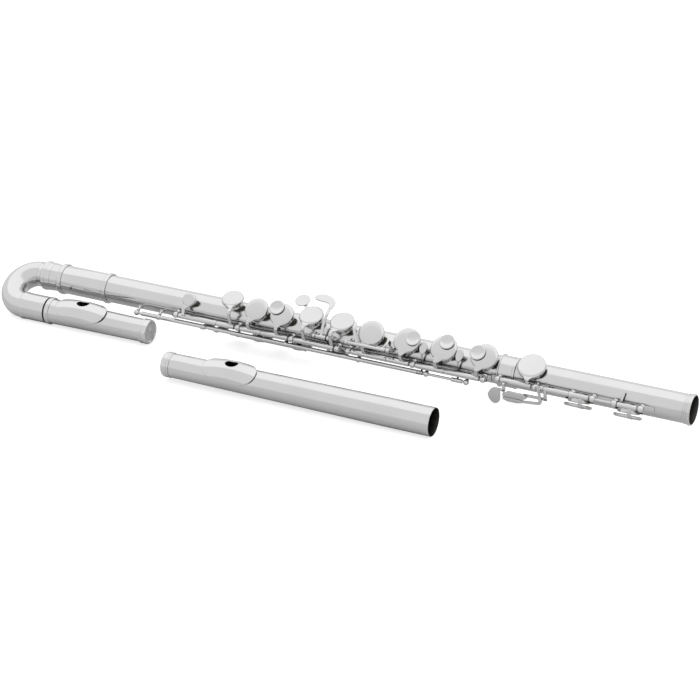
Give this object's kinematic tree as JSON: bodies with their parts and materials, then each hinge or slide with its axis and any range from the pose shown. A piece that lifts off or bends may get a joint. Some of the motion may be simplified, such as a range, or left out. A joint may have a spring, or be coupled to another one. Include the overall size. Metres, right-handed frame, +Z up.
{
  "type": "alto flute",
  "caption": "Long metal flute with cup keys on posts, a U-bent headjoint fitted, and its straight spare headjoint lying beside it.",
  "frame": {"origin": "centre of the bore at the open end of the foot joint", "axes": "+X along the body bore, out of the open foot end; +Z up; the player side is -Y"},
  "size_m": [0.7085, 0.1238, 0.0648],
  "materials": {
    "silver_tube": "silver plate over nickel silver, polished",
    "silver_fittings": "silver plate, polished",
    "silver_keys": "silver plate on cast nickel silver, polished",
    "steel": "drawn steel rod, oiled",
    "spring_steel": "blued needle steel",
    "pads": "bladder skin over felt",
    "cork": "natural cork"
  },
  "bodies": {
    "flute_body": {"body_tube": "silver_tube", "barrel": "silver_fittings", "body_ribs": "silver_keys", "upper_steel": "steel", "lower_steel": "steel", "thumb_steel": "steel", "side_steels": "steel", "needle_springs": "spring_steel", "key_bumpers": "cork"},
    "foot_joint": {"foot_tube": "silver_tube", "foot_ribs": "silver_keys", "foot_steel": "silver_keys"},
    "curved_head": {"bend_tube": "silver_tube", "head_tenon": "silver_fittings", "mouth_tube": "silver_tube", "lip_plate": "silver_fittings", "head_cork": "cork"},
    "mouth_crown": {"crown": "silver_fittings"},
    "spare_head": {"spare_tube": "silver_tube", "spare_lip_plate": "silver_fittings", "spare_cork": "cork"},
    "spare_head_crown": {"spare_crown": "silver_fittings"},
    "side_lever_key": {"side_lever": "silver_keys"},
    "c_sharp_key_body": {"c_sharp_key": "silver_keys", "c_sharp_pad": "pads"},
    "c_key_body": {"c_key": "silver_keys", "c_pad": "pads"},
    "b_flat_key_body": {"b_flat_key": "silver_keys", "b_flat_pad": "pads"},
    "a_key_body": {"a_key": "silver_keys", "a_pad": "pads"},
    "f_sharp_key_body": {"f_sharp_key": "silver_keys", "f_sharp_pad": "pads"},
    "f_key_body": {"f_key": "silver_keys", "f_pad": "pads"},
    "e_key_body": {"e_key": "silver_keys", "e_pad": "pads"},
    "d_key_body": {"d_key": "silver_keys", "d_pad": "pads"},
    "g_sharp_key_body": {"g_sharp_key": "silver_keys", "g_sharp_pad": "pads"},
    "d_trill_key_body": {"d_trill_key": "silver_keys", "d_trill_pad": "pads"},
    "d_sharp_trill_key_body": {"d_sharp_trill_key": "silver_keys", "d_sharp_trill_pad": "pads"},
    "thumb_b_key_body": {"thumb_b_key": "silver_keys", "thumb_b_pad": "pads"},
    "thumb_b_flat_key_body": {"thumb_b_flat_key": "silver_keys", "thumb_b_flat_pad": "pads"},
    "e_flat_key_body": {"e_flat_key": "silver_keys", "e_flat_pad": "pads"},
    "low_c_sharp_key_body": {"low_c_sharp_key": "silver_keys", "low_c_sharp_pad": "pads"},
    "low_c_key_body": {"low_c_key": "silver_keys", "low_c_pad": "pads"},
    "g_key_body": {"g_key": "silver_keys", "g_pads": "pads"}
  },
  "joints": [
    {"name": "c_sharp_hinge", "type": "hinge", "parent": "flute_body", "child": "c_sharp_key_body", "pos_m": [-0.4889, -0.0203, -0.00285], "axis": [-1, 0, 0], "range_deg": [0, 8]},
    {"name": "c_hinge", "type": "hinge", "parent": "flute_body", "child": "c_key_body", "pos_m": [-0.45885, -0.0203, -0.00285], "axis": [-1, 0, 0], "range_deg": [0, 8], "stiffness_Nm_per_rad": 0.03, "springref_deg": -20.05},
    {"name": "b_flat_hinge", "type": "hinge", "parent": "flute_body", "child": "b_flat_key_body", "pos_m": [-0.4317, -0.0203, -0.00285], "axis": [-1, 0, 0], "range_deg": [0, 8]},
    {"name": "a_hinge", "type": "hinge", "parent": "flute_body", "child": "a_key_body", "pos_m": [-0.40665, -0.0203, -0.00285], "axis": [-1, 0, 0], "range_deg": [0, 8], "stiffness_Nm_per_rad": 0.03, "springref_deg": -20.05},
    {"name": "g_hinge", "type": "hinge", "parent": "flute_body", "child": "g_key_body", "pos_m": [-0.3649, -0.0203, -0.00285], "axis": [-1, 0, 0], "range_deg": [0, 8], "stiffness_Nm_per_rad": 0.03, "springref_deg": -20.05},
    {"name": "f_sharp_hinge", "type": "hinge", "parent": "flute_body", "child": "f_sharp_key_body", "pos_m": [-0.3078, -0.0203, -0.00285], "axis": [-1, 0, 0], "range_deg": [0, 8]},
    {"name": "f_hinge", "type": "hinge", "parent": "flute_body", "child": "f_key_body", "pos_m": [-0.2785, -0.0203, -0.00285], "axis": [-1, 0, 0], "range_deg": [0, 8], "stiffness_Nm_per_rad": 0.03, "springref_deg": -20.05},
    {"name": "e_hinge", "type": "hinge", "parent": "flute_body", "child": "e_key_body", "pos_m": [-0.24605, -0.0203, -0.00285], "axis": [-1, 0, 0], "range_deg": [0, 8], "stiffness_Nm_per_rad": 0.03, "springref_deg": -20.05},
    {"name": "d_hinge", "type": "hinge", "parent": "flute_body", "child": "d_key_body", "pos_m": [-0.21435, -0.0203, -0.00285], "axis": [-1, 0, 0], "range_deg": [0, 8], "stiffness_Nm_per_rad": 0.03, "springref_deg": -20.05},
    {"name": "g_sharp_hinge", "type": "hinge", "parent": "flute_body", "child": "g_sharp_key_body", "pos_m": [-0.35795, -0.0198, 0.00568], "axis": [-1, 0, 0], "range_deg": [0, 5], "stiffness_Nm_per_rad": 0.03, "springref_deg": -28.65},
    {"name": "side_lever_hinge", "type": "hinge", "parent": "flute_body", "child": "side_lever_key", "pos_m": [-0.3076, -0.02625, 0.00914], "axis": [-1, 0, 0], "range_deg": [0, 5], "stiffness_Nm_per_rad": 0.03, "springref_deg": -20.05},
    {"name": "d_trill_hinge", "type": "hinge", "parent": "flute_body", "child": "d_trill_key_body", "pos_m": [-0.36, -0.01986, -0.00947], "axis": [-1, 0, 0], "range_deg": [0, 4.5], "stiffness_Nm_per_rad": 0.03, "springref_deg": -28.65},
    {"name": "d_sharp_trill_hinge", "type": "hinge", "parent": "flute_body", "child": "d_sharp_trill_key_body", "pos_m": [-0.38, -0.01986, -0.00947], "axis": [-1, 0, 0], "range_deg": [0, 4.5], "stiffness_Nm_per_rad": 0.03, "springref_deg": -28.65},
    {"name": "thumb_b_hinge", "type": "hinge", "parent": "flute_body", "child": "thumb_b_key_body", "pos_m": [-0.4315, -0.01296, -0.0139], "axis": [1, 0, 0], "range_deg": [0, 6], "stiffness_Nm_per_rad": 0.03, "springref_deg": -20.05},
    {"name": "thumb_b_flat_hinge", "type": "hinge", "parent": "flute_body", "child": "thumb_b_flat_key_body", "pos_m": [-0.39885, -0.01296, -0.0139], "axis": [1, 0, 0], "range_deg": [0, 6], "stiffness_Nm_per_rad": 0.03, "springref_deg": -20.05},
    {"name": "e_flat_hinge", "type": "hinge", "parent": "foot_joint", "child": "e_flat_key_body", "pos_m": [-0.16115, -0.02049, 0.00072], "axis": [1, 0, 0], "range_deg": [0, 7], "stiffness_Nm_per_rad": 0.03, "springref_deg": -28.65},
    {"name": "low_c_sharp_hinge", "type": "hinge", "parent": "foot_joint", "child": "low_c_sharp_key_body", "pos_m": [-0.1127, -0.02049, 0.00072], "axis": [1, 0, 0], "range_deg": [0, 5], "stiffness_Nm_per_rad": 0.03, "springref_deg": -20.05},
    {"name": "low_c_hinge", "type": "hinge", "parent": "foot_joint", "child": "low_c_key_body", "pos_m": [-0.092, -0.02049, 0.00072], "axis": [1, 0, 0], "range_deg": [0, 5], "stiffness_Nm_per_rad": 0.03, "springref_deg": -20.05},
    {"name": "foot_turn", "type": "hinge", "parent": "flute_body", "child": "foot_joint", "pos_m": [-0.1693, 0, 0], "axis": [1, 0, 0], "range_deg": [-15, 15]},
    {"name": "head_turn", "type": "hinge", "parent": "flute_body", "child": "curved_head", "pos_m": [-0.64, 0, 0], "axis": [1, 0, 0], "range_deg": [-20, 20]},
    {"name": "crown_turn", "type": "hinge", "parent": "curved_head", "child": "mouth_crown", "pos_m": [-0.5408, -0.03617, -0.01843], "axis": [1, 0, 0], "range_deg": [-180, 180]},
    {"name": "spare_lift", "type": "slide", "parent": "flute_body", "child": "spare_head", "axis": [0, 0, 1], "range_m": [0, 0.12]},
    {"name": "spare_crown_turn", "type": "hinge", "parent": "spare_head", "child": "spare_head_crown", "pos_m": [-0.47347, -0.09468, -0.01587], "axis": [0.9999, 0.014, -0.0051], "range_deg": [-180, 180]}
  ],
  "couplings": [
    {"joint": "c_sharp_hinge", "follows": "c_hinge", "ratio": 1},
    {"joint": "b_flat_hinge", "follows": "a_hinge", "ratio": 1},
    {"joint": "f_sharp_hinge", "follows": "f_hinge", "ratio": 1}
  ]
}
